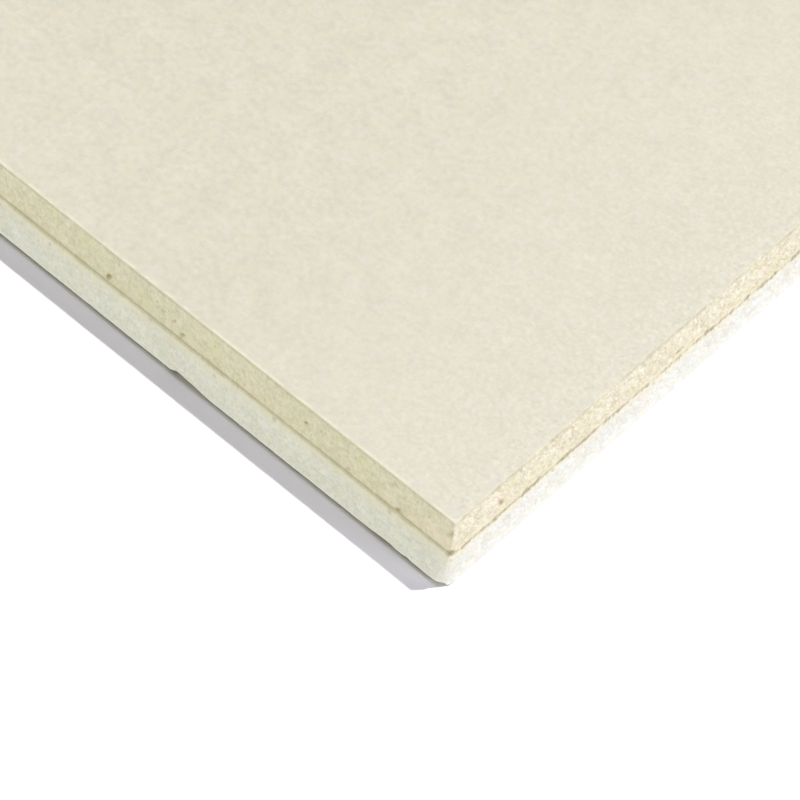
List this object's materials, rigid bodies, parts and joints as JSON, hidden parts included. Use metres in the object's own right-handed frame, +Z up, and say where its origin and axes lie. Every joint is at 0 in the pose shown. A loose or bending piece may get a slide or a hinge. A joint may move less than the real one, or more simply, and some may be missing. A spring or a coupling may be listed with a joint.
{
  "type": "insulated drywall sheet",
  "caption": "Flat drywall sheet: ivory face paper, gypsum core and brown back paper, bonded to a white bead-foam backing, square cut on every edge; lines and insulates a wall.",
  "frame": {"origin": "centre of the foam's underside, where the sheet lies on the floor", "axes": "+X along the length, +Y across the width, +Z up through the layers to the face paper"},
  "size_m": [2.4, 1.2, 0.026],
  "materials": {
    "face_paper": "matte, faintly fibrous ivory paper",
    "gypsum": "chalky cut gypsum with small pits",
    "back_paper": "matte brown recycled paper",
    "foam": "white fused foam beads"
  },
  "bodies": {
    "root": {"face_paper": "face_paper", "gypsum_core": "gypsum", "back_paper": "back_paper", "foam_backing": "foam"}
  },
  "joints": []
}
